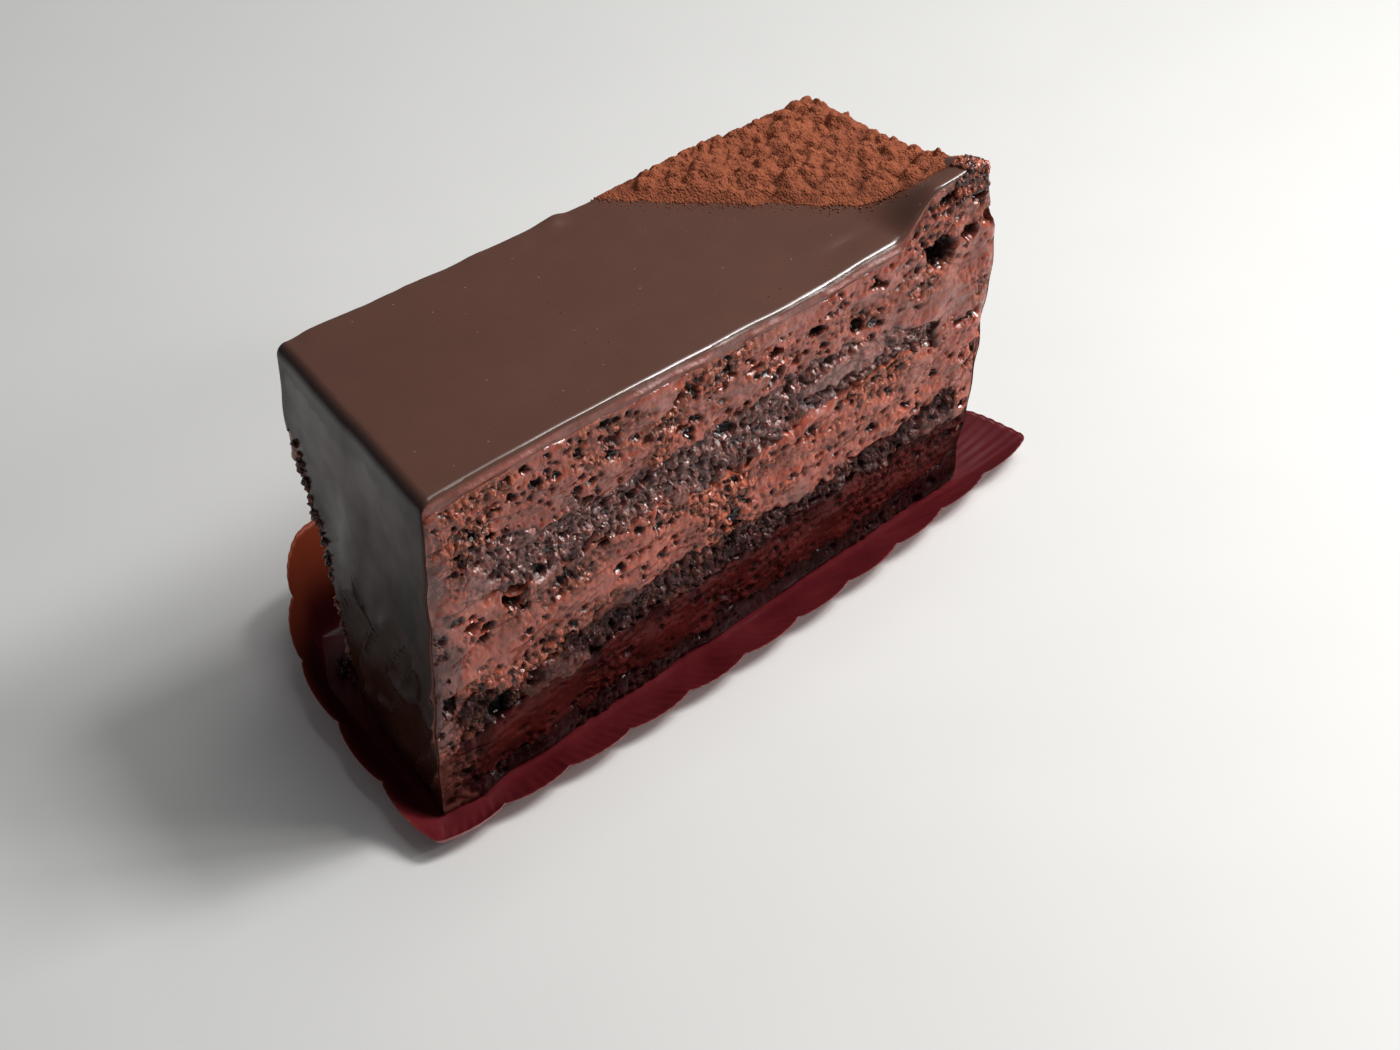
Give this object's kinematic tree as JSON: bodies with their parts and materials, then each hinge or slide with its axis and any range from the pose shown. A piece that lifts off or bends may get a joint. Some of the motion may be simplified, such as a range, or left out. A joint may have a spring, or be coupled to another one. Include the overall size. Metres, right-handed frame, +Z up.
{
  "type": "slice of chocolate cake",
  "caption": "Cut slice of chocolate layer cake with sponge and mousse layers, a dark glaze and a corner of cocoa powder, standing in a flared paper case with a scalloped edge.",
  "frame": {"origin": "middle of the slice's base, on the underside of the paper case", "axes": "+X along the slice towards the end with the cocoa powder, -Y out of the cut face of the picture's view, +Z up to the glazed top"},
  "size_m": [0.112, 0.0548, 0.0564],
  "materials": {
    "mousse": "moist, finely pitted, with a soft shine",
    "sponge": "moist dark crumb with small glints",
    "glaze": "smooth and glossy",
    "cocoa": "dry fine powder in soft lumps",
    "paper": "thin, semi-gloss, lightly pleated"
  },
  "bodies": {
    "root": {"paper_case": "paper", "base_sponge": "sponge", "lower_mousse": "mousse", "lower_sponge": "sponge", "middle_mousse": "mousse", "upper_sponge": "sponge", "upper_mousse": "mousse", "glaze": "glaze", "cocoa_powder": "cocoa"}
  },
  "joints": []
}
